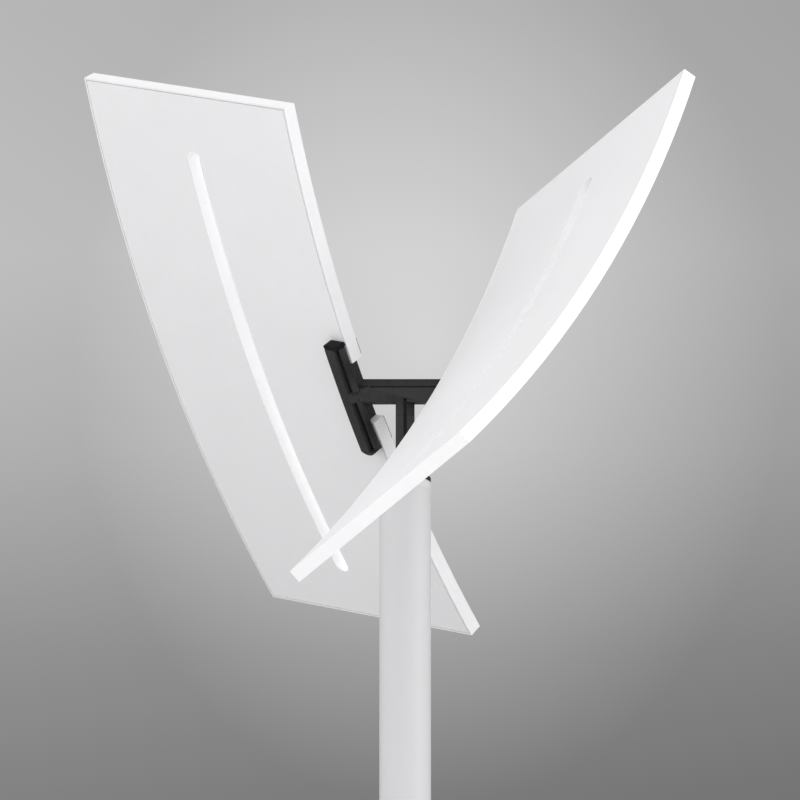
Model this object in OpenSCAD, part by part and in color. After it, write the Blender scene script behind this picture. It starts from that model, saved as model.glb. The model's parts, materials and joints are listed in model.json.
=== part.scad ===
// Vertical axis turbine: a mast with a generator in its head, and a rotor of two large bent blades.
// Units are millimetres. +Z is up. The origin is the middle of the base plate's underside.

/* [Mast] */
// Height of the cross-arm's middle line above the ground
arm_height = 1750; // [1600:10:2400]
// Height of the top edge of the mast tube
mast_top = 1420; // [1300:10:1500]
// Outside diameter of the mast tube
mast_od = 168.3; // [140:0.1:220]
// Wall of the mast tube
mast_wall = 8; // [4:0.5:12]
// Side of the square base plate
base_side = 440; // [380:5:600]
// Thickness of the base plate
base_t = 20; // [12:1:30]
// Spacing of the four anchor holes
anchor_pitch = 350; // [300:5:480]
// Diameter of the anchor holes
anchor_d = 22; // [14:1:30]
// Height of the foot gussets
gusset_h = 120; // [80:5:200]
// Reach of the foot gussets from the tube
gusset_reach = 100; // [60:5:120]
// Thickness of the foot gussets
gusset_t = 10; // [6:1:16]
// Cable hole through the base plate
cable_hole_d = 100; // [60:5:130]
// Lower edge of the service door above the ground
door_z = 165; // [150:5:250]
// Height of the service door opening
door_h = 130; // [80:5:180]
// Width of the service door opening
door_w = 70; // [50:5:90]
// Thickness of the door cover
door_t = 4; // [3:0.5:6]
// How far the door cover laps over its opening's edge
door_lap = 14; // [8:1:20]

/* [Generator] */
// Diameter of the turning shaft
shaft_d = 40; // [30:1:50]
// Radial running clearance of the shaft in its bearings
shaft_clear = 0.05; // [0.01:0.01:0.1]
// Outside diameter of the bearings
bearing_od = 68; // [60:1:80]
// Height of one bearing
bearing_h = 18; // [12:1:24]
// Height of the mast's head ring
ring_h = 30; // [20:1:40]
// Wall of the generator case
case_wall = 7; // [4:0.5:9]
// Clearance between generator case and mast tube
case_clear = 3; // [1:0.5:6]
// Length of the generator case
case_h = 180; // [150:5:240]
// Height of the stator stack
stack_h = 80; // [60:5:100]
// Radial depth of the stator core
core_t = 12; // [8:1:16]
// Radial depth of the windings
winding_t = 9; // [6:1:12]
// Number of windings
winding_n = 12; // [9:3:18]
// Radial gap between magnets and windings
air_gap = 2; // [1:0.5:4]
// Thickness of the magnets
magnet_t = 4; // [3:0.5:6]
// Number of magnets
magnet_n = 8; // [6:2:12]
// Distance from the lower bearing to the stator stack
stack_up = 42; // [30:1:60]
// Width of the terminal box
box_w = 60; // [40:1:70]
// Depth of the terminal box
box_d = 36; // [24:1:40]
// Height of the terminal box
box_h = 34; // [24:1:50]

/* [Hub and arm] */
// Thickness of the turning hub disc
disc_t = 14; // [10:1:20]
// Gap between the head ring and the hub disc
disc_gap = 1.5; // [1:0.5:4]
// Diameter of the stem's round foot
foot_d = 120; // [100:2:150]
// Thickness of the stem's round foot
foot_t = 12; // [8:1:16]
// Width of the stem
stem_w = 62; // [50:1:80]
// Depth of the stem and of the cross-arm
arm_d = 40; // [32:1:52]
// Width of the groove down the stem
groove_w = 10; // [6:1:14]
// Depth of the groove down the stem
groove_d = 9; // [4:0.5:12]
// How far the stem's slanted side falls back
stem_slant = 16; // [8:1:24]
// Height of the arm's stub that the stem meets
stub_h = 43; // [30:1:60]
// How far the stem's groove runs up into the arm
groove_up = 11; // [4:1:16]
// The arm's underside, below its middle line
arm_below = 36; // [30:1:50]
// The arm's top, above its middle line
arm_above = 46; // [36:1:60]
// Height of the arm's flat front above its middle line
arm_front = 17; // [10:1:24]
// How far the bevel on the arm's top runs back
arm_bevel = 23; // [15:1:30]
// Height of the line along the arm's front
line_h = 6; // [3:1:10]
// Depth of the line along the arm's front
line_d = 3; // [1:0.5:6]
// Left joint of the arm, from the axis
joint_a = 115; // [100:1:130]
// Right joint of the arm, from the axis
joint_b = 78; // [60:1:90]
// Right end of the full-height arm, from the axis
end_b = 118; // [110:1:125]
// Length of the tongue at the arm's right end
tongue_l = 70; // [50:1:90]
// Height of the tongue
tongue_h = 44; // [30:1:60]

/* [Blades] */
// Width of a blade
blade_w = 946; // [800:2:1100]
// Length of a blade along its bend
blade_l = 2058; // [1700:2:2400]
// Radius of the blade's outer, bulging face
bend_r = 5956; // [4500:2:8000]
// Thickness of a blade
blade_t = 46; // [30:1:60]
// Thickness of the edge trim
trim_t = 6; // [4:0.5:10]
// Thickness of each face skin
skin_t = 2.5; // [1.5:0.5:4]
// Glue line between the core and each face skin
glue_t = 0.1; // [0.05:0.05:0.5]
// Seam between a face skin and the edge trim
seam = 3; // [1:0.5:5]
// Width of the long slot
slot_w = 56; // [40:1:80]
// Length of the long slot
slot_l = 1642; // [1200:2:1800]
// The slot's middle line, from the middle line of the blade
slot_off = -17; // [-60:1:60]
// The slot's middle, below the middle of the blade
slot_down = 8; // [-40:1:40]
// Wall of the slot's liner
liner_t = 3; // [2:0.5:5]
// The notch's middle, below the middle of the blade
notch_s = 17; // [-60:1:60]
// Length of the notch along the blade
notch_l = 232; // [200:1:280]
// Depth of the notch from the blade's edge
notch_d = 90; // [80:1:110]
// Width of the block in the notch that the arm runs into
core_w = 58; // [40:1:60]

/* [Blade clamps] */
// Distance of a clamp bar's inner side from the blade's edge
bar_in = 68; // [60:1:90]
// Width of a clamp bar's front plate
bar_w = 41; // [30:1:46]
// How far the bar's web stands back from the side of its front plate
web_in = 6; // [4:1:10]
// Height of a clamp bar above the blade's face
bar_h = 41; // [34:1:50]
// Length of a clamp bar
bar_l = 393; // [340:1:440]
// The clamp bar's upper end, above the middle of the blade
bar_up = 166; // [140:1:200]
// Thickness of the clamp bar's front plate
plate_t = 15; // [10:1:20]
// Distance of the side rod's middle from the blade's edge
rod_in = 16; // [12:1:24]
// Gap between the side rod and the blade's face and front plate
rod_gap = 0.5; // [0.3:0.1:2]
// Length of the clamp bar's upper end cap
cap_l = 16; // [10:1:24]
// Thickness of the rear clamp plates
rear_t = 8; // [5:1:12]
// Length of the knee's root on the left clamp bar
knee_l = 36; // [30:1:60]
// The upper end of the knee's root, below the middle of the blade
knee_s = 1; // [-20:1:20]
// How far the knee stands proud of the arm
knee_lip = 2; // [1:0.5:4]
// Place of the knee's screw along the arm, from the axis
knee_screw_x = 143; // [130:1:150]
// Height of the knee's screw above the arm's underside
knee_screw_z = 4; // [2:1:12]
// Length of the right clamp along its bar
clamp_l = 70; // [50:1:90]
// Thickness of the right clamp over its bar
clamp_t = 24; // [16:1:32]
// How far the right clamp reaches beyond the blade's edge
clamp_out = 34; // [20:1:45]
// Size of the clamp screws
screw_d = 12; // [8:1:16]

/* [Hidden] */
$fn = 96;
e = 0.02;
at_a = [-142.09, -38.78, 2.59];
turn_a = [41.44, 16.03, -42.92];
at_b = [100.13, -94.49, -93.92];
turn_b = [39.81, 18.3, 127.05];
mast_r = mast_od / 2;
mast_ri = mast_r - mast_wall;
case_r = mast_ri - case_clear;
case_ri = case_r - case_wall;
case_z = mast_top - case_h;
shield_t = 10;
hub_wall = 7;
bearing_r = bearing_od / 2;
shaft_r = shaft_d / 2;
bore_r = shaft_r + shaft_clear;
ring_z = mast_top;
disc_z = ring_z + ring_h + disc_gap;
stem_z = disc_z + disc_t;
stack_z = case_z + shield_t + bearing_h + stack_up;
core_ri = case_ri - core_t;
wind_ri = core_ri - winding_t;
magnet_r = wind_ri - air_gap;
drum_r = magnet_r - magnet_t;
arm_z0 = arm_height - arm_below;
stub_z = arm_z0 - stub_h;
half_w = blade_w / 2;
bar_u0 = half_w - bar_in;
bar_u1 = bar_u0 + bar_w;
bar_mid = bar_u0 + bar_w / 2;
rod_r = (bar_h - plate_t) / 2 - rod_gap;
rod_u = half_w - rod_in;
rod_side = rod_u + rod_r + rod_gap;
bar_s = -bar_up;
bar_s1 = bar_s + bar_l;
notch_s0 = notch_s - notch_l / 2;
notch_s1 = notch_s + notch_l / 2;
knee_s1 = knee_s + knee_l;
rear_u0 = half_w - notch_d - 14;
rear_u1 = half_w - 6;
screw_r = screw_d * 0.9;
box_y = sqrt(pow(mast_ri - case_clear, 2) - pow(box_w / 2, 2)) - 4;
black = [0.16, 0.16, 0.17];
white = [0.93, 0.93, 0.94];
steel = [0.66, 0.67, 0.69];

// the two blades' frames: x across, y into the blade from its bulging face, z up along it,
// placed by the middle of the edge that is clamped
module on_a() {
  translate([at_a[0], at_a[1], arm_height + at_a[2]]) rotate(turn_a) translate([-half_w, 0, 0]) children();
}

module on_b() {
  translate([at_b[0], at_b[1], arm_height + at_b[2]]) rotate(turn_b) translate([-half_w, 0, 0]) children();
}

module ring(ro, ri, z0, z1) {
  difference() {
    translate([0, 0, z0]) cylinder(r = ro, h = z1 - z0);
    translate([0, 0, z0 - 1]) cylinder(r = ri, h = z1 - z0 + 2);
  }
}

// angle of a distance along the blade, counted down from the blade's middle
function ang(s) = s / bend_r * 180 / PI;

// places what is turned about the blade's bend axis
module bend_frame() {
  multmatrix([[0, 0, 1, 0], [-1, 0, 0, bend_r], [0, -1, 0, 0], [0, 0, 0, 1]]) children();
}

// a block that follows the bend: u across the blade, s along it, d into it from the bulging face
module bent(u0, u1, s0, s1, d0, d1) {
  bend_frame() rotate([0, 0, ang(s0)]) rotate_extrude(angle = ang(s1) - ang(s0), $fn = 360)
    translate([bend_r - d1, u0]) square([d1 - d0, u1 - u0]);
}

// the blade's whole outline, drawn in by g on every side
module plank(g, d0, d1) {
  bent(-half_w + g, half_w - g, -blade_l / 2 + g, blade_l / 2 - g, d0, d1);
}

// a round peg square to the blade's face
module peg(u, s, d0, d1, r) {
  bend_frame() rotate([0, 0, ang(s)]) translate([bend_r - d1, 0, u]) rotate([0, 90, 0])
    cylinder(r = r, h = d1 - d0);
}

// a six-sided peg square to the blade's face
module nut(u, s, d0, d1, r) {
  bend_frame() rotate([0, 0, ang(s)]) translate([bend_r - d1, 0, u]) rotate([0, 90, 0])
    cylinder(r = r, h = d1 - d0, $fn = 6);
}

// the long slot, widened by g, cut straight through the blade
module slot(g) {
  r = slot_w / 2 + g;
  z0 = -bend_r * sin(ang(slot_down + (slot_l - slot_w) / 2));
  z1 = -bend_r * sin(ang(slot_down - (slot_l - slot_w) / 2));
  depth = bend_r * (1 - cos(ang(blade_l / 2))) + blade_t + 20;
  translate([slot_off, -10, 0]) {
    translate([-r, 0, z0]) cube([2 * r, depth, z1 - z0]);
    translate([0, 0, z0]) rotate([-90, 0, 0]) cylinder(r = r, h = depth);
    translate([0, 0, z1]) rotate([-90, 0, 0]) cylinder(r = r, h = depth);
  }
}

// the notch in the edge that the arm passes through, widened by g
module notch(g, d0, d1) {
  bent(half_w - notch_d - g, half_w + 40, notch_s0 - g, notch_s1 + g, d0, d1);
}

// ---- blade pieces, the same for both blades but for the notch

module core(notched) {
  difference() {
    plank(trim_t, skin_t + glue_t, blade_t - skin_t - glue_t);
    slot(liner_t);
    if (notched) notch(trim_t, -5, blade_t + 5);
  }
}

module trim(notched) {
  difference() {
    plank(0, 0, blade_t);
    difference() {
      plank(trim_t, -5, blade_t + 5);
      if (notched) notch(trim_t, -10, blade_t + 10);
    }
    if (notched) notch(0, -5, blade_t + 5);
  }
}

// one face skin between depths d0 and d1
module skin(notched, d0, d1) {
  g = trim_t + seam;
  difference() {
    plank(g, d0, d1);
    slot(liner_t);
    if (notched) notch(g, -5, blade_t + 5);
  }
}

module liner() {
  difference() {
    intersection() {
      plank(0, 0, blade_t);
      slot(liner_t);
    }
    slot(0);
  }
}

// ---- clamp bar pieces on the bulging face

module bar_plate() {
  bent(bar_u0, bar_u1, bar_s, bar_s1, -bar_h, plate_t - bar_h);
}

module bar_web() {
  bent(bar_u0, bar_u1 - web_in, bar_s, bar_s1, plate_t - bar_h, 0);
}

// the side rod between two distances along the blade
module bar_rod(s0, s1) {
  bend_frame() rotate([0, 0, ang(s0)]) rotate_extrude(angle = ang(s1) - ang(s0), $fn = 360)
    translate([bend_r + rod_r + rod_gap, rod_u]) circle(r = rod_r, $fn = 48);
}

module bar_cap() {
  bent(bar_u0 - 1, rod_side, bar_s - cap_l, bar_s, -bar_h - 1, 0);
}

module bar_foot() {
  width = rod_side - bar_u0;
  foot_l = width / 5;
  foot_r = (pow(width / 2, 2) + pow(foot_l, 2)) / (2 * foot_l);
  intersection() {
    bent(bar_u0, rod_side, bar_s1, bar_s1 + 2 * foot_l, -bar_h, 0);
    peg(bar_u0 + width / 2, bar_s1 + foot_l - foot_r, -bar_h - 1, 1, foot_r);
  }
}

// ---- the arm

module arm_section() {
  polygon([
    [-arm_d / 2, -arm_below], [arm_d / 2, -arm_below], [arm_d / 2, arm_above],
    [arm_bevel - arm_d / 2, arm_above], [-arm_d / 2, arm_front]
  ]);
}

// full arm between two distances from the axis along X
module arm(x0, x1) {
  translate([x0, 0, arm_height]) rotate([90, 0, 90]) linear_extrude(x1 - x0) arm_section();
}

// the same with the line along its front
module lined_arm(x0, x1) {
  difference() {
    arm(x0, x1);
    translate([x0 - 1, line_d - arm_d / 2 - 2 * line_d, arm_height + arm_front + 1 - line_h])
      cube([x1 - x0 + 2, 2 * line_d, line_h]);
  }
}

module tongue() {
  translate([end_b, 0, arm_z0 + 2]) cube([tongue_l, arm_d / 2, tongue_h]);
}

// ---- root: the mast

module mast_tube() {
  color(white) difference() {
    ring(mast_r, mast_ri, base_t, mast_top);
    translate([-door_w / 2, -mast_r - 10, door_z]) cube([door_w, mast_r, door_h]);
  }
}

module base_plate() {
  color(white) difference() {
    translate([-base_side / 2, -base_side / 2, 0]) cube([base_side, base_side, base_t]);
    translate([0, 0, -1]) cylinder(r = cable_hole_d / 2, h = base_t + 2);
    for (x = [-1, 1], y = [-1, 1])
      translate([x * anchor_pitch / 2, y * anchor_pitch / 2, -1]) cylinder(r = anchor_d / 2, h = base_t + 2);
  }
}

module foot_gussets() {
  color(white) for (a = [0, 90, 180, 270]) rotate([0, 0, a]) difference() {
    translate([0, gusset_t / 2, base_t]) rotate([90, 0, 0]) linear_extrude(gusset_t)
      polygon([
        [mast_r - 2, 0], [mast_r + gusset_reach, 0], [mast_r + gusset_reach, 15],
        [mast_r + 12, gusset_h], [mast_r - 2, gusset_h]
      ]);
    translate([0, 0, base_t - 1]) cylinder(r = mast_r, h = gusset_h + 2);
  }
}

module door_cover() {
  color(white) intersection() {
    ring(mast_r + door_t, mast_r, door_z - door_lap, door_z + door_h + door_lap);
    translate([-door_w / 2 - door_lap, -mast_r - 20, door_z - door_lap])
      cube([door_w + 2 * door_lap, mast_r, door_h + 2 * door_lap]);
  }
}

module door_screws() {
  turn = asin(door_w / 3 / mast_r);
  color(steel) for (z = [door_z - door_lap / 2, door_z + door_h + door_lap / 2], a = [-turn, turn])
    translate([0, 0, z]) rotate([0, 0, a]) rotate([90, 0, 0])
      translate([0, 0, mast_r + door_t]) cylinder(r = 4.5, h = 3);
}

module head_ring() {
  color(white) difference() {
    union() {
      ring(mast_r, bearing_r, ring_z, ring_z + ring_h - 4);
      translate([0, 0, ring_z + ring_h - 4]) difference() {
        cylinder(r1 = mast_r, r2 = mast_r - 4, h = 4);
        translate([0, 0, -1]) cylinder(r = bearing_r, h = 6);
      }
    }
    for (a = [0 : 60 : 300]) rotate([0, 0, a]) translate([case_ri + 2, 0, ring_z + ring_h - 10])
      cylinder(r = 6.5, h = 12);
  }
}

module ring_screws() {
  color(steel) for (a = [0 : 60 : 300]) rotate([0, 0, a]) translate([case_ri + 2, 0, ring_z + ring_h - 10])
    difference() {
      cylinder(r = 6.2, h = 8);
      translate([0, 0, 4]) cylinder(r = 3.4, h = 5, $fn = 6);
    }
}

module gen_case() {
  color(steel) ring(case_r, case_ri, case_z + shield_t, ring_z);
}

module gen_lower_shield() {
  color(steel) difference() {
    union() {
      translate([0, 0, case_z]) cylinder(r = case_r, h = shield_t);
      translate([0, 0, case_z + shield_t]) cylinder(r = bearing_r + hub_wall, h = bearing_h);
    }
    translate([0, 0, case_z + shield_t]) cylinder(r = bearing_r, h = bearing_h + 1);
    translate([0, 0, case_z - 1]) cylinder(r = shaft_r + 3, h = shield_t + 2);
  }
}

module lower_bearing() {
  color([0.72, 0.73, 0.75]) ring(bearing_r, bore_r, case_z + shield_t, case_z + shield_t + bearing_h);
}

module upper_bearing() {
  color([0.72, 0.73, 0.75]) ring(bearing_r, bore_r, ring_z + 2, ring_z + 2 + bearing_h);
}

module stator_core() {
  color([0.35, 0.36, 0.38]) ring(case_ri, core_ri, stack_z, stack_z + stack_h);
}

module windings() {
  color([0.72, 0.42, 0.2]) for (i = [0 : winding_n - 1]) rotate([0, 0, i * 360 / winding_n])
    difference() {
      rotate([0, 0, -120 / winding_n]) rotate_extrude(angle = 240 / winding_n)
        translate([wind_ri, stack_z - 5]) square([winding_t, stack_h + 10]);
      rotate([0, 0, -30 / winding_n]) rotate_extrude(angle = 60 / winding_n)
        translate([wind_ri - 1, stack_z + 5]) square([winding_t + 2, stack_h - 10]);
    }
}

module terminal_box() {
  color([0.2, 0.2, 0.21]) translate([-box_w / 2, box_y - box_d, case_z - box_h])
    cube([box_w, box_d, box_h]);
}

module cable_gland() {
  color([0.2, 0.2, 0.21]) translate([0, box_y - box_d / 2, case_z - box_h]) {
    translate([0, 0, -8]) cylinder(r = 11, h = 8, $fn = 6);
    difference() {
      translate([0, 0, -20]) cylinder(r = 8, h = 12);
      translate([0, 0, -21]) cylinder(r = 4.5, h = 10);
    }
  }
}

// ---- rotor: shaft, hub and arm

module shaft() {
  color(steel) union() {
    translate([0, 0, case_z + 2]) cylinder(r = shaft_r, h = stem_z - case_z - 2);
    translate([0, 0, ring_z + 2 + bearing_h + 0.5]) cylinder(r = shaft_r + 6, h = disc_z - ring_z - bearing_h - 2.5);
  }
}

module magnet_drum() {
  color([0.5, 0.51, 0.53]) ring(drum_r, shaft_r, stack_z, stack_z + stack_h);
}

module magnets() {
  color([0.3, 0.31, 0.34]) for (i = [0 : magnet_n - 1]) rotate([0, 0, i * 360 / magnet_n])
    rotate_extrude(angle = 320 / magnet_n) translate([drum_r, stack_z + 3]) square([magnet_t, stack_h - 6]);
}

module hub_disc() {
  color(black) difference() {
    union() {
      translate([0, 0, disc_z]) cylinder(r = mast_r, h = disc_t - 3);
      translate([0, 0, disc_z + disc_t - 3]) cylinder(r1 = mast_r, r2 = mast_r - 3, h = 3);
    }
    translate([0, 0, disc_z - 1]) cylinder(r = shaft_r, h = disc_t + 2);
  }
}

module stem_foot() {
  color(black) difference() {
    translate([0, 0, stem_z]) cylinder(r = foot_d / 2, h = foot_t);
    translate([0, 0, stem_z - 1]) cylinder(r = shaft_r, h = foot_t / 2);
  }
}

module foot_bolts() {
  color([0.22, 0.22, 0.23]) for (a = [60, 90, 120, 240, 270, 300]) rotate([0, 0, a])
    translate([foot_d / 2 - 13, 0, stem_z + foot_t]) cylinder(r = 7, h = 6, $fn = 6);
}

// the stem's section: a flat, a groove and a slanted side, the same from the front and the back
module stem_section() {
  x = stem_w / 2;
  y = arm_d / 2;
  g = groove_w / 2;
  polygon([
    [-x, -y], [-g, -y], [-g, groove_d - y], [g, groove_d - y], [g, 3 - y], [x, stem_slant + 3 - y],
    [x, y], [g, y], [g, y - groove_d], [-g, y - groove_d], [-g, y - 3], [-x, y - stem_slant - 3]
  ]);
}

module hub_stem() {
  color(black) translate([0, 0, stem_z + foot_t]) linear_extrude(stub_z - stem_z - foot_t) stem_section();
}

module cross_arm() {
  color(black) difference() {
    union() {
      lined_arm(-joint_a, joint_b);
      translate([0, 0, stub_z]) linear_extrude(stub_h + 2) stem_section();
    }
    for (y = [-1, 1]) translate([-groove_w / 2, y * arm_d / 2 - groove_d, arm_z0 - 1])
      cube([groove_w, 2 * groove_d, groove_up + 1]);
  }
}

module arm_end_a() {
  color(black) difference() {
    lined_arm(-joint_a - 90, -joint_a);
    on_a() bent(bar_u0 - 200, rod_side, bar_s, bar_s1, -200, 0);
    on_a() bent(bar_u0 - 200, half_w - notch_d, bar_s, bar_s1, -1, 200);
  }
}

module arm_end_b() {
  color(black) lined_arm(joint_b, end_b);
}

module arm_tongue_b() {
  color(black) difference() {
    tongue();
    on_b() bent(bar_u0, rod_side, bar_s, bar_s1, -bar_h - 60, 0);
  }
}

// the wedge between the side of the clamp bar and the end of the arm
module knee_block() {
  hull() {
    on_a() bent(bar_u1, bar_u1 + 1, knee_s, knee_s1, -bar_h, 0);
    translate([-joint_a - 1, -arm_d / 2 - knee_lip, arm_z0 - knee_lip])
      cube([1, arm_d / 2 + knee_lip, arm_below + arm_front + knee_lip]);
  }
}

module knee_a() {
  color(black) difference() {
    knee_block();
    arm(-joint_a - 120, 100);
    on_a() bent(bar_u1 - 1, rod_side, bar_s, knee_s, -bar_h - 1, 0);
    on_a() bent(bar_u1 - 1, rod_side, knee_s1, bar_s1, -bar_h - 1, 0);
    knee_screw_a();
  }
}

module knee_screw_a() {
  color([0.1, 0.1, 0.1]) translate([-knee_screw_x, -arm_d / 2, arm_z0 + knee_screw_z]) rotate([90, 0, 0])
    cylinder(r = screw_d / 2, h = 12);
}

module notch_core_a() {
  color(black) difference() {
    on_a() bent(half_w - notch_d, half_w - notch_d + core_w, notch_s0, notch_s1, 0, blade_t);
    arm(-joint_a - 120, 0);
  }
}

module rear_plates_a() {
  color(black) on_a() {
    bent(rear_u0, rear_u1, bar_s, notch_s0 - trim_t, blade_t, blade_t + rear_t);
    bent(rear_u0, rear_u1, notch_s1 + trim_t, bar_s1, blade_t, blade_t + rear_t);
  }
}

module rear_nuts_a() {
  color(steel) on_a() for (s = [bar_s + 26, notch_s1 + 30, bar_s1 - 28])
    nut(bar_mid, s, blade_t + rear_t, blade_t + rear_t + 9, screw_r);
}

module clamp_b() {
  s0 = bar_s + 2;
  s1 = s0 + clamp_l;
  color(black) difference() {
    on_b() union() {
      bent(bar_u0 - 4, half_w + clamp_out, s0, s1, -bar_h - clamp_t, -bar_h);
      bent(rod_side, half_w + clamp_out, s0, s1, -bar_h - e, -5);
    }
    tongue();
    arm(0, end_b);
  }
}

module clamp_screws_b() {
  color(steel) on_b() for (s = [bar_s + 20, bar_s + clamp_l - 16])
    nut(bar_mid, s, -bar_h - clamp_t - 8, -bar_h - clamp_t, screw_r);
}

module bar_plate_a() { color(black) on_a() bar_plate(); }
module bar_web_a() { color(black) on_a() bar_web(); }
module bar_rod_a() {
  color(black) on_a() {
    bar_rod(bar_s, knee_s);
    bar_rod(knee_s1, bar_s1);
  }
}
module bar_cap_a() { color(black) on_a() bar_cap(); }
module bar_foot_a() { color(black) on_a() bar_foot(); }
module bar_plate_b() { color(black) on_b() bar_plate(); }
module bar_web_b() { color(black) on_b() bar_web(); }
module bar_rod_b() { color(black) on_b() bar_rod(bar_s, bar_s1); }
module bar_cap_b() { color(black) on_b() bar_cap(); }
module bar_foot_b() { color(black) on_b() bar_foot(); }

module blade_core_a() { color([0.86, 0.84, 0.76]) on_a() core(true); }
module blade_trim_a() { color(white) on_a() trim(true); }
module outer_skin_a() { color(white) on_a() skin(true, 0, skin_t); }
module inner_skin_a() { color(white) on_a() skin(true, blade_t - skin_t, blade_t); }
module slot_liner_a() { color(white) on_a() liner(); }
module blade_core_b() { color([0.86, 0.84, 0.76]) on_b() core(false); }
module blade_trim_b() { color(white) on_b() trim(false); }
module outer_skin_b() { color(white) on_b() skin(false, 0, skin_t); }
module inner_skin_b() { color(white) on_b() skin(false, blade_t - skin_t, blade_t); }
module slot_liner_b() { color(white) on_b() liner(); }

mast_tube();
base_plate();
foot_gussets();
door_cover();
door_screws();
head_ring();
ring_screws();
gen_case();
gen_lower_shield();
lower_bearing();
upper_bearing();
stator_core();
windings();
terminal_box();
cable_gland();
shaft();
magnet_drum();
magnets();
hub_disc();
stem_foot();
foot_bolts();
hub_stem();
cross_arm();
arm_end_a();
arm_end_b();
arm_tongue_b();
knee_a();
knee_screw_a();
notch_core_a();
bar_plate_a();
bar_web_a();
bar_rod_a();
bar_cap_a();
bar_foot_a();
rear_plates_a();
rear_nuts_a();
clamp_b();
clamp_screws_b();
bar_plate_b();
bar_web_b();
bar_rod_b();
bar_cap_b();
bar_foot_b();
blade_core_a();
blade_trim_a();
outer_skin_a();
inner_skin_a();
slot_liner_a();
blade_core_b();
blade_trim_b();
outer_skin_b();
inner_skin_b();
slot_liner_b();
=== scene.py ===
"""Looks for the vertical axis turbine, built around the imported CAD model. Metres, +Z up."""

import json
import math

import bmesh
import bpy
from mathutils import Euler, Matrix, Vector

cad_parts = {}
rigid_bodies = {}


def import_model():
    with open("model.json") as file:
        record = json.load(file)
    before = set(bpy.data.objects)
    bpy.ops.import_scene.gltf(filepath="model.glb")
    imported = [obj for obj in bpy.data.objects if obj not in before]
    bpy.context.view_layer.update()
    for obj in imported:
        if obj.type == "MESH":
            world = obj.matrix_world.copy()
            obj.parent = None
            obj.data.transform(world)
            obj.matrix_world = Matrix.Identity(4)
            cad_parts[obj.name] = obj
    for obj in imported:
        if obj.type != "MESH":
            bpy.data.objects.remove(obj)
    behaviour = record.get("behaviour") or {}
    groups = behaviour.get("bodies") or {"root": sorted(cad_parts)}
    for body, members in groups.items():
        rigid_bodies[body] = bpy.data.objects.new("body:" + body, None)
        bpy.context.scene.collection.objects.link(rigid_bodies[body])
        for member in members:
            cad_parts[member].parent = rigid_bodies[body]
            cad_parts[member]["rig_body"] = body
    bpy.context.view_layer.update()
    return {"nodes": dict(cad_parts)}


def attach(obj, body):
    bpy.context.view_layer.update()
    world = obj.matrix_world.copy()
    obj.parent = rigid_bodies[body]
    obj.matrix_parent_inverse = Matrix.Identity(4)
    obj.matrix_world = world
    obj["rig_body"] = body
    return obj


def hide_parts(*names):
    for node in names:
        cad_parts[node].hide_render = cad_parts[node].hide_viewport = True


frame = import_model()
nodes = frame["nodes"]
scene = bpy.context.scene

# ---------------------------------------------------------------- camera

# the point at the middle of the view, the camera's tilt, its distance from there, its focal length in mm
AIM = Vector((-0.0167, 0.0, 1.7248))
LOOK_UP = math.radians(12.9)
DISTANCE = 39.29
LENS = 540.0


def make_camera():
    data = bpy.data.cameras.new("camera")
    data.lens = LENS
    data.sensor_width = 36.0
    data.clip_start = 1.0
    data.clip_end = 400.0
    cam = bpy.data.objects.new("camera", data)
    scene.collection.objects.link(cam)
    back = Vector((0.0, -math.cos(LOOK_UP), -math.sin(LOOK_UP)))
    cam.location = AIM + back * DISTANCE
    cam.rotation_mode = "QUATERNION"
    cam.rotation_quaternion = (-back).to_track_quat("-Z", "Y")
    scene.camera = cam


make_camera()

# ---------------------------------------------------------------- materials


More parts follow.
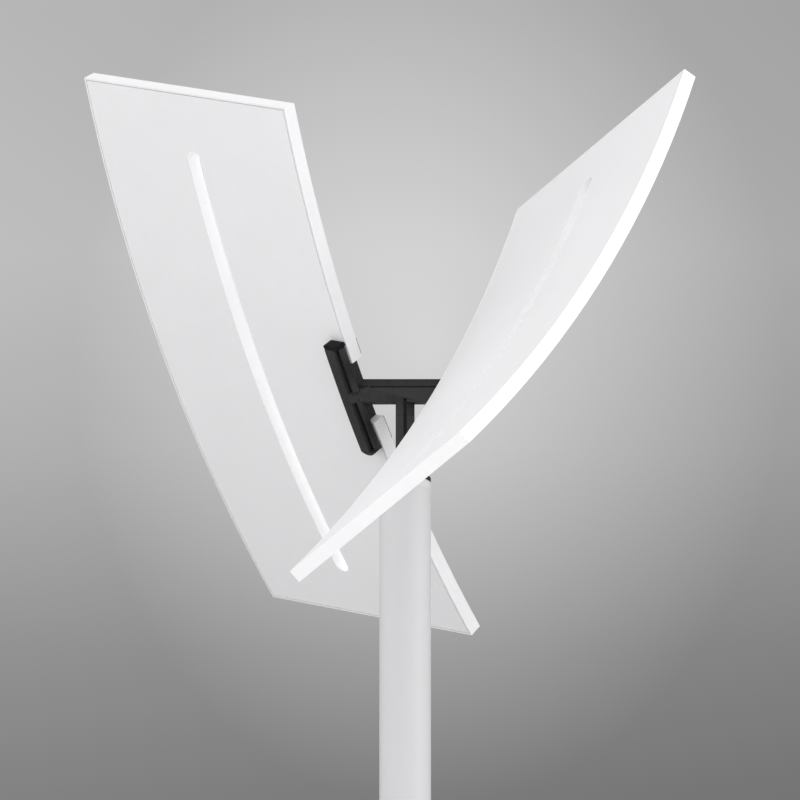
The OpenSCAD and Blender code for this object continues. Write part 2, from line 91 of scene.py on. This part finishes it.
class Nodes:
    """A material under construction, with short calls for the nodes it uses."""

    def __init__(self, name):
        self.mat = bpy.data.materials.new(name)
        self.mat.use_nodes = True
        self.tree = self.mat.node_tree
        self.shader = self.tree.nodes["Principled BSDF"]
        self.coord = self.tree.nodes.new("ShaderNodeTexCoord")

    def link(self, a, b):
        self.tree.links.new(a, b)

    def new(self, kind):
        return self.tree.nodes.new(kind)

    def set(self, **values):
        for key, value in values.items():
            self.shader.inputs[key.replace("_", " ")].default_value = value

    def noise(self, scale, detail=3.0, rough=0.5, stretch=None):
        node = self.new("ShaderNodeTexNoise")
        node.inputs["Scale"].default_value = scale
        node.inputs["Detail"].default_value = detail
        node.inputs["Roughness"].default_value = rough
        source = self.coord.outputs["Object"]
        if stretch:
            mapping = self.new("ShaderNodeMapping")
            mapping.inputs["Scale"].default_value = stretch
            self.link(source, mapping.inputs["Vector"])
            source = mapping.outputs["Vector"]
        self.link(source, node.inputs["Vector"])
        return node.outputs["Fac"]

    def cells(self, scale):
        node = self.new("ShaderNodeTexVoronoi")
        node.inputs["Scale"].default_value = scale
        self.link(self.coord.outputs["Object"], node.inputs["Vector"])
        return node.outputs["Distance"]

    def wave(self, scale, direction="Z", distortion=0.0):
        node = self.new("ShaderNodeTexWave")
        node.bands_direction = direction
        node.inputs["Scale"].default_value = scale
        node.inputs["Distortion"].default_value = distortion
        self.link(self.coord.outputs["Object"], node.inputs["Vector"])
        return node.outputs["Fac"]

    def ramp(self, fac, stops):
        node = self.new("ShaderNodeValToRGB")
        ramp = node.color_ramp
        while len(ramp.elements) < len(stops):
            ramp.elements.new(0.5)
        for element, (at, colour) in zip(ramp.elements, stops):
            element.position = at
            element.color = (*colour, 1.0) if len(colour) == 3 else colour
        self.link(fac, node.inputs["Fac"])
        return node.outputs["Color"]

    def grey_ramp(self, fac, low, high, at0=0.3, at1=0.7):
        return self.ramp(fac, [(at0, (low, low, low)), (at1, (high, high, high))])

    def mix(self, fac, a, b, mode="MIX"):
        node = self.new("ShaderNodeMix")
        node.data_type = "RGBA"
        node.blend_type = mode
        for value, socket in ((fac, node.inputs[0]), (a, node.inputs[6]), (b, node.inputs[7])):
            if hasattr(value, "is_output"):
                self.link(value, socket)
            elif isinstance(value, tuple):
                socket.default_value = (*value, 1.0)
            else:
                socket.default_value = value
        return node.outputs[2]

    def sum(self, a, b, share=1.0):
        node = self.new("ShaderNodeMath")
        node.operation = "MULTIPLY_ADD"
        self.link(b, node.inputs[0])
        node.inputs[1].default_value = share
        self.link(a, node.inputs[2])
        return node.outputs[0]

    def colour(self, socket):
        self.link(socket, self.shader.inputs["Base Color"])

    def roughness(self, fac, low, high):
        node = self.new("ShaderNodeMapRange")
        node.inputs["To Min"].default_value = low
        node.inputs["To Max"].default_value = high
        self.link(fac, node.inputs["Value"])
        self.link(node.outputs["Result"], self.shader.inputs["Roughness"])

    def bump(self, height, distance, strength=1.0):
        node = self.new("ShaderNodeBump")
        node.inputs["Distance"].default_value = distance
        node.inputs["Strength"].default_value = strength
        self.link(height, node.inputs["Height"])
        self.link(node.outputs["Normal"], self.shader.inputs["Normal"])

    def worn_edges(self, base, worn, low=0.52, high=0.6):
        """base colour, with the worn colour on the sharp outer edges, broken up by noise."""
        geometry = self.new("ShaderNodeNewGeometry")
        broken = self.sum(geometry.outputs["Pointiness"], self.noise(60.0, 4.0), 0.06)
        mask = self.grey_ramp(broken, 0.0, 1.0, low, high)
        return self.mix(mask, base, worn)


def tone(colour, factor):
    return tuple(min(1.0, c * factor) for c in colour)


def face_material():
    """The blades' faces: matt white gelcoat with a fine stipple."""
    m = Nodes("blade_face")
    base = (0.815, 0.815, 0.82)
    fine = m.noise(420.0, 2.0, 0.6)
    broad = m.noise(3.0, 3.0, 0.5)
    mottled = m.mix(m.grey_ramp(broad, 0.0, 1.0), tone(base, 0.975), tone(base, 1.02))
    m.colour(m.mix(m.grey_ramp(fine, 0.0, 1.0, 0.35, 0.65), mottled, tone(base, 0.93)))
    m.roughness(fine, 0.48, 0.66)
    m.bump(fine, 0.0006, 0.55)
    m.set(Specular_IOR_Level=0.35)
    return m.mat


def edge_material(name, white, painted_glow):
    """The blades' edge bands and slot walls: smooth satin white, with an emission of the given strength
    that is painted light: it makes a band or wall give off light, though it is no lamp.
    """
    m = Nodes(name)
    base = (white, white, white * 1.006)
    broad = m.noise(6.0, 3.0, 0.5)
    m.colour(m.mix(m.grey_ramp(broad, 0.0, 1.0), tone(base, 0.98), tone(base, 1.01)))
    m.roughness(broad, 0.3, 0.42)
    m.bump(m.noise(150.0, 2.0), 0.0002, 0.25)
    # painted light: this emission brightens the band or wall beyond what the lamps give
    m.set(Specular_IOR_Level=0.4, Emission_Color=(1.0, 1.0, 1.0, 1.0), Emission_Strength=painted_glow)
    return m.mat


def core_material():
    """The light core that shows at the bottom of the seams."""
    m = Nodes("blade_core")
    grain = m.noise(90.0, 4.0, 0.6)
    m.colour(m.mix(m.grey_ramp(grain, 0.0, 1.0), (0.52, 0.51, 0.49), (0.62, 0.61, 0.58)))
    m.roughness(grain, 0.75, 0.9)
    m.bump(m.cells(260.0), 0.0008, 0.5)
    return m.mat


def mast_material():
    """Light grey powder coat with a faint orange peel."""
    m = Nodes("mast_paint")
    base = (0.71, 0.71, 0.715)
    broad = m.noise(2.2, 4.0, 0.5, (1.0, 1.0, 0.35))
    peel = m.noise(320.0, 2.0, 0.5)
    coat = m.mix(m.grey_ramp(broad, 0.0, 1.0), tone(base, 0.975), tone(base, 1.015))
    m.colour(m.worn_edges(coat, tone(base, 0.86)))
    m.roughness(peel, 0.34, 0.46)
    m.bump(peel, 0.0003, 0.35)
    m.set(Specular_IOR_Level=0.45)
    return m.mat


def bracket_material():
    """Satin black coat on the brackets, a little lighter along the edges; its specular shine is painted
    by facing: painted highlight on faces to the side, painted shade where a face points up.
    """
    m = Nodes("bracket_black")
    base = (0.011, 0.011, 0.0114)
    broad = m.noise(14.0, 4.0, 0.55)
    grain = m.noise(520.0, 3.0, 0.6)
    coat = m.mix(m.grey_ramp(broad, 0.0, 1.0), tone(base, 0.85), tone(base, 1.12))
    m.colour(m.worn_edges(coat, (0.035, 0.035, 0.036)))
    m.roughness(m.sum(broad, grain, 0.4), 0.42, 0.58)
    m.bump(grain, 0.0005, 0.45)
    # painted light: the specular level falls as a face turns up, so tops are painted darker than fronts
    geometry = m.new("ShaderNodeNewGeometry")
    split = m.new("ShaderNodeSeparateXYZ")
    facing_painted_sheen = m.new("ShaderNodeMapRange")
    m.link(geometry.outputs["Normal"], split.inputs[0])
    m.link(split.outputs["Z"], facing_painted_sheen.inputs["Value"])
    facing_painted_sheen.inputs["From Max"].default_value = 0.6
    facing_painted_sheen.inputs["To Min"].default_value = 0.13
    facing_painted_sheen.inputs["To Max"].default_value = 0.0
    m.link(facing_painted_sheen.outputs["Result"], m.shader.inputs["Specular IOR Level"])
    return m.mat


def steel_material(name, base, stretch, metallic=1.0, low=0.22, high=0.4):
    """Machined metal with fine turning or brushing marks along one direction."""
    m = Nodes(name)
    marks = m.noise(60.0, 6.0, 0.7, stretch)
    stain = m.noise(9.0, 4.0)
    tint = m.mix(m.grey_ramp(stain, 0.0, 1.0), tone(base, 0.86), tone(base, 1.08))
    m.colour(m.worn_edges(tint, tone(base, 1.25)))
    m.roughness(marks, low, high)
    m.bump(marks, 0.0002, 0.35)
    m.set(Metallic=metallic)
    return m.mat


def case_material():
    """Cast and turned aluminium of the generator's case."""
    m = Nodes("generator_case")
    base = (0.55, 0.56, 0.58)
    skin = m.noise(170.0, 4.0, 0.6)
    turned = m.wave(90.0, "Z", 0.6)
    m.colour(m.mix(m.grey_ramp(skin, 0.0, 1.0), tone(base, 0.85), tone(base, 1.1)))
    m.roughness(skin, 0.35, 0.55)
    m.bump(m.sum(skin, turned, 0.5), 0.0004, 0.4)
    m.set(Metallic=0.9)
    return m.mat


def lamination_material():
    """Stacked dark sheets: fine level lines."""
    m = Nodes("lamination_steel")
    lines = m.wave(160.0, "Z", 0.05)
    rust = m.noise(24.0, 5.0)
    dark = m.mix(m.grey_ramp(lines, 0.0, 1.0), (0.10, 0.10, 0.11), (0.2, 0.2, 0.21))
    m.colour(m.mix(m.grey_ramp(rust, 0.0, 0.35, 0.5, 0.8), dark, (0.16, 0.12, 0.1)))
    m.roughness(rust, 0.45, 0.6)
    m.bump(lines, 0.0004, 0.6)
    m.set(Metallic=0.7)
    return m.mat


def copper_material():
    """Enamelled copper wire, wound in close turns."""
    m = Nodes("copper_winding")
    turns = m.wave(130.0, "X", 0.3)
    tint = m.noise(30.0, 3.0)
    wire = m.mix(m.grey_ramp(tint, 0.0, 1.0), (0.42, 0.16, 0.06), (0.62, 0.27, 0.11))
    m.colour(m.mix(m.grey_ramp(turns, 0.0, 1.0), wire, (0.2, 0.07, 0.03)))
    m.roughness(turns, 0.25, 0.45)
    m.bump(turns, 0.0007, 0.8)
    m.set(Metallic=0.8, Coat_Weight=0.6)
    return m.mat


def plastic_material():
    """Moulded black plastic with a fine spark texture."""
    m = Nodes("black_plastic")
    spark = m.noise(600.0, 3.0, 0.6)
    m.colour(m.mix(m.grey_ramp(spark, 0.0, 1.0), (0.004, 0.004, 0.0042), (0.009, 0.009, 0.0094)))
    m.roughness(spark, 0.5, 0.65)
    m.bump(spark, 0.0003, 0.5)
    m.set(Specular_IOR_Level=0.08)
    return m.mat


def screw_material():
    """Black screws, a little lighter where the driver rubs."""
    m = Nodes("black_screw")
    rub = m.noise(260.0, 4.0)
    black = m.mix(m.grey_ramp(rub, 0.0, 1.0), (0.008, 0.008, 0.008), (0.014, 0.014, 0.014))
    m.colour(m.worn_edges(black, (0.03, 0.03, 0.03)))
    m.roughness(rub, 0.3, 0.5)
    m.bump(rub, 0.0002, 0.4)
    m.set(Metallic=0.5)
    return m.mat


FACE = face_material()
# four copies of one white edge material, set per blade to paint light and shade: their whites differ, and
# the emissions of the B edge band and the A slot wall are painted light
EDGE_A = edge_material("blade_edge_a", 0.81, 0.0)
EDGE_B_PAINTED_LIGHT = edge_material("blade_edge_b_painted_light", 0.80, 0.13)
SLOT_A_PAINTED_LIGHT = edge_material("slot_wall_a_painted_light", 0.87, 0.12)
SLOT_B = edge_material("slot_wall_b", 0.84, 0.0)
CORE = core_material()
MAST = mast_material()
BLACK = bracket_material()
STEEL = steel_material("bright_steel", (0.6, 0.61, 0.63), (1.0, 1.0, 9.0))
TURNED = steel_material("turned_steel", (0.56, 0.57, 0.6), (0.6, 0.6, 14.0), low=0.16, high=0.3)
CASE = case_material()
LAMINATION = lamination_material()
COPPER = copper_material()
PLASTIC = plastic_material()
SCREW = screw_material()

MATERIAL_OF = {
    MAST: ["mast_tube", "base_plate", "foot_gussets", "door_cover", "head_ring"],
    STEEL: ["door_screws", "ring_screws", "rear_nuts_a", "clamp_screws_b"],
    TURNED: ["shaft", "lower_bearing", "upper_bearing"],
    CASE: ["gen_case", "gen_lower_shield"],
    LAMINATION: ["stator_core", "magnet_drum", "magnets"],
    COPPER: ["windings"],
    PLASTIC: ["terminal_box", "cable_gland", "bar_cap_a", "bar_cap_b"],
    SCREW: ["foot_bolts", "knee_screw_a"],
    CORE: ["blade_core_a", "blade_core_b"],
    EDGE_A: ["blade_trim_a"],
    EDGE_B_PAINTED_LIGHT: ["blade_trim_b"],
    SLOT_A_PAINTED_LIGHT: ["slot_liner_a"],
    SLOT_B: ["slot_liner_b"],
    FACE: ["outer_skin_a", "inner_skin_a", "outer_skin_b", "inner_skin_b"],
}
named = {node: mat for mat, group in MATERIAL_OF.items() for node in group}
for node_name, obj in nodes.items():
    obj.data.materials.clear()
    obj.data.materials.append(named.get(node_name, BLACK))

# ---------------------------------------------------------------- softened edges


def fresh_mesh(bm, name, material):
    mesh = bpy.data.meshes.new(name)
    bm.to_mesh(mesh)
    bm.free()
    mesh.materials.append(material)
    obj = bpy.data.objects.new(name, mesh)
    scene.collection.objects.link(obj)
    return obj


BEVEL_STEPS = 2
BEVEL_FROM = math.radians(32.0)
FLAT_WITHIN = math.radians(0.2)


def put_in_place(piece, node_name):
    """Lets a piece ride on its CAD node's body and stand in for that node."""
    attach(piece, nodes[node_name]["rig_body"])
    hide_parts(node_name)


def soften(node_name, width):
    """Puts a copy of a CAD node with rounded edges in the node's place, the same size."""
    source = nodes[node_name].data
    bm = bmesh.new()
    verts = [bm.verts.new(v.co) for v in source.vertices]
    for poly in source.polygons:
        try:
            bm.faces.new([verts[i] for i in poly.vertices])
        except ValueError:  # a face that is there already
            pass
    bmesh.ops.remove_doubles(bm, verts=bm.verts, dist=2e-6)
    bmesh.ops.dissolve_limit(
        bm, angle_limit=FLAT_WITHIN, verts=bm.verts, edges=bm.edges, use_dissolve_boundaries=False
    )
    bmesh.ops.recalc_face_normals(bm, faces=bm.faces)
    piece = fresh_mesh(bm, node_name + "_soft", source.materials[0])
    bevel = piece.modifiers.new("bevel", "BEVEL")
    bevel.width = width
    bevel.segments = BEVEL_STEPS
    bevel.limit_method = "ANGLE"
    bevel.angle_limit = BEVEL_FROM
    bevel.use_clamp_overlap = True
    weighted = piece.modifiers.new("weighted", "WEIGHTED_NORMAL")
    weighted.keep_sharp = False
    weighted.weight = 80
    piece.data.shade_smooth()
    put_in_place(piece, node_name)


# width of the rounded edges in metres, and the nodes that have them
SOFT_WIDTHS = {
    0.0055: ["bar_cap_a", "bar_cap_b"],
    0.0022: [
        "bar_plate_a", "bar_web_a", "bar_foot_a", "bar_plate_b", "bar_web_b", "bar_foot_b",
        "knee_a", "notch_core_a", "arm_end_a", "cross_arm", "arm_end_b", "arm_tongue_b", "hub_stem",
        "clamp_b", "rear_plates_a",
    ],
    0.0015: ["base_plate", "foot_gussets", "stem_foot", "door_cover", "head_ring", "hub_disc"],
    0.0010: ["foot_bolts", "rear_nuts_a", "clamp_screws_b", "knee_screw_a", "door_screws", "ring_screws"],
}
for edge_width, group in SOFT_WIDTHS.items():
    for member in group:
        soften(member, edge_width)


# the turns of the two blades in degrees, as in the CAD source
BLADE_TURNS = {"slot_liner_a": (41.44, 16.03, -42.92), "slot_liner_b": (39.81, 18.3, 127.05)}
SINK = 0.0008


def sink_ends(node_name, turn):
    """Draws the ends of a slot's liner back from the blade's faces, so that no facet stands out there."""
    across = Euler([math.radians(a) for a in turn]).to_matrix() @ Vector((0.0, 1.0, 0.0))
    source = nodes[node_name].data
    bm = bmesh.new()
    bm.from_mesh(source)
    bmesh.ops.remove_doubles(bm, verts=bm.verts, dist=2e-5)
    bm.normal_update()
    shift = {}
    for face in bm.faces:
        share = face.normal.dot(across)
        if abs(share) > 0.8:
            for vert in face.verts:
                shift[vert] = across * (-SINK if share > 0.0 else SINK)
    for vert, move in shift.items():
        vert.co += move
    piece = fresh_mesh(bm, node_name + "_sunk", source.materials[0])
    piece.data.shade_smooth()
    piece.data.set_sharp_from_angle(angle=math.radians(30.0))
    put_in_place(piece, node_name)


for liner, blade_turn in BLADE_TURNS.items():
    sink_ends(liner, blade_turn)

# ---------------------------------------------------------------- stage and light

FLOOR_RADIUS = 60.0
SHEET_PLACE = (0.0, 3.2, 2.2)
# the sheet's grey from the bottom of the view to its top, as shares of its height: painted shade, darkest
# at the bottom
SHEET_FOOT = -1.16
SHEET_TOP = 1.67
SHEET_PAINTED_GREYS = ((0.0, 0.20), (0.18, 0.255), (0.44, 0.387), (0.69, 0.461), (1.0, 0.42))
# the painted pool of light behind the rotor, and the painted shade that grows towards +X
POOL_OF_LIGHT_GREY = 0.25
SIDE_SHADE_FALL = -0.085


def stage_floor():
    """A pale floor that shows from above only, so that the low camera sees the object past it."""
    m = Nodes("floor")
    tint = m.noise(1.5, 3.0)
    m.colour(m.mix(m.grey_ramp(tint, 0.0, 1.0), (0.80, 0.80, 0.80), (0.84, 0.84, 0.84)))
    m.set(Roughness=0.8)
    one_sided(m, m.shader)
    disc = bmesh.new()
    bmesh.ops.create_circle(disc, cap_ends=True, segments=96, radius=FLOOR_RADIUS)
    floor = fresh_mesh(disc, "floor", m.mat)
    floor.location.z = -0.001


def one_sided(m, shader):
    """Lets a sheet show from its front only."""
    geometry = m.new("ShaderNodeNewGeometry")
    clear = m.new("ShaderNodeBsdfTransparent")
    choice = m.new("ShaderNodeMixShader")
    m.link(geometry.outputs["Backfacing"], choice.inputs[0])
    m.link(shader.outputs[0], choice.inputs[1])
    m.link(clear.outputs[0], choice.inputs[2])
    m.link(choice.outputs[0], m.tree.nodes["Material Output"].inputs["Surface"])


def stage_backdrop():
    """A grey sheet that gives off light, shown from the front only, with painted light on it: painted
    shade below, paler above, a painted pool of light behind the rotor, and painted shade growing towards
    +X.
    """
    m = Nodes("backdrop")
    split = m.new("ShaderNodeSeparateXYZ")
    m.link(m.coord.outputs["Object"], split.inputs[0])
    height = m.new("ShaderNodeMapRange")
    height.inputs["From Min"].default_value = SHEET_FOOT
    height.inputs["From Max"].default_value = SHEET_TOP
    m.link(split.outputs["Z"], height.inputs["Value"])
    wall = m.ramp(height.outputs["Result"], [(at, (grey,) * 3) for at, grey in SHEET_PAINTED_GREYS])
    mapping = m.new("ShaderNodeMapping")
    mapping.inputs["Location"].default_value = (-0.07, 0.0, -0.26)
    mapping.inputs["Scale"].default_value = (0.79, 1.0, 0.61)
    m.link(m.coord.outputs["Object"], mapping.inputs["Vector"])
    # painted light: a pool of light on the sheet behind the rotor
    painted_light_pool = m.new("ShaderNodeTexGradient")
    painted_light_pool.gradient_type = "SPHERICAL"
    m.link(mapping.outputs["Vector"], painted_light_pool.inputs["Vector"])
    soft = m.ramp(painted_light_pool.outputs["Fac"], [(0.0, (0.0,) * 3), (1.0, (POOL_OF_LIGHT_GREY,) * 3)])
    # painted shade: the sheet's light falls off towards +X
    side = m.new("ShaderNodeMath")
    side.operation = "MULTIPLY_ADD"
    side.inputs[1].default_value = SIDE_SHADE_FALL
    side.inputs[2].default_value = 1.0
    m.link(split.outputs["X"], side.inputs[0])
    painted_glow = m.new("ShaderNodeEmission")
    m.link(m.mix(1.0, wall, soft, "ADD"), painted_glow.inputs["Color"])
    m.link(side.outputs[0], painted_glow.inputs["Strength"])
    one_sided(m, painted_glow)
    sheet = bmesh.new()
    corners = [sheet.verts.new(c) for c in ((-6, 0, -4), (6, 0, -4), (6, 0, 6), (-6, 0, 6))]
    sheet.faces.new(corners)
    backdrop = fresh_mesh(sheet, "backdrop", m.mat)
    backdrop.location = SHEET_PLACE


def area_light(name, place, target, size, power):
    data = bpy.data.lights.new(name, "AREA")
    data.shape = "DISK"
    data.size = size
    data.energy = power
    light = bpy.data.objects.new(name, data)
    light.location = place
    light.rotation_mode = "QUATERNION"
    light.rotation_quaternion = (Vector(target) - Vector(place)).to_track_quat("-Z", "Y")
    scene.collection.objects.link(light)


def stage_sky():
    """A studio dome: its brightness goes with the height above the horizon."""
    world = bpy.data.worlds.new("studio")
    world.use_nodes = True
    tree = world.node_tree
    coord = tree.nodes.new("ShaderNodeTexCoord")
    split = tree.nodes.new("ShaderNodeSeparateXYZ")
    level = tree.nodes.new("ShaderNodeMapRange")
    ramp = tree.nodes.new("ShaderNodeValToRGB")
    tree.links.new(coord.outputs["Generated"], split.inputs[0])
    level.inputs["From Min"].default_value = -1.0
    tree.links.new(split.outputs["Z"], level.inputs["Value"])
    tree.links.new(level.outputs["Result"], ramp.inputs["Fac"])
    while len(ramp.color_ramp.elements) < len(DOME):
        ramp.color_ramp.elements.new(0.5)
    for element, (height, bright) in zip(ramp.color_ramp.elements, DOME):
        element.position = (height + 1.0) / 2.0
        element.color = (bright, bright, bright * 1.01, 1.0)
    tree.links.new(ramp.outputs["Color"], tree.nodes["Background"].inputs["Color"])
    scene.world = world


# height above the horizon, from -1 at the bottom to 1 at the top, and the dome's brightness there
DOME = [(-0.7, 0.3), (-0.15, 0.9), (0.15, 0.95), (0.7, 1.3)]
# each light's place in metres, its width and its power in watts
LIGHTS = {
    "key": ((1.5, -6.5, 5.5), 5.0, 12.0),
    "fill": ((-6.0, -4.0, 1.2), 5.0, 36.0),
    "side": ((6.0, -3.5, 1.6), 5.0, 95.0),
    "front": ((0.5, -8.5, 0.8), 5.0, 12.0),
}


def make_light():
    stage_sky()
    for name, (place, size, power) in LIGHTS.items():
        area_light(name, place, (0.0, 0.0, 1.8), size, power)
    scene.view_settings.view_transform = "Standard"
    scene.view_settings.look = "None"


stage_floor()
stage_backdrop()
make_light()
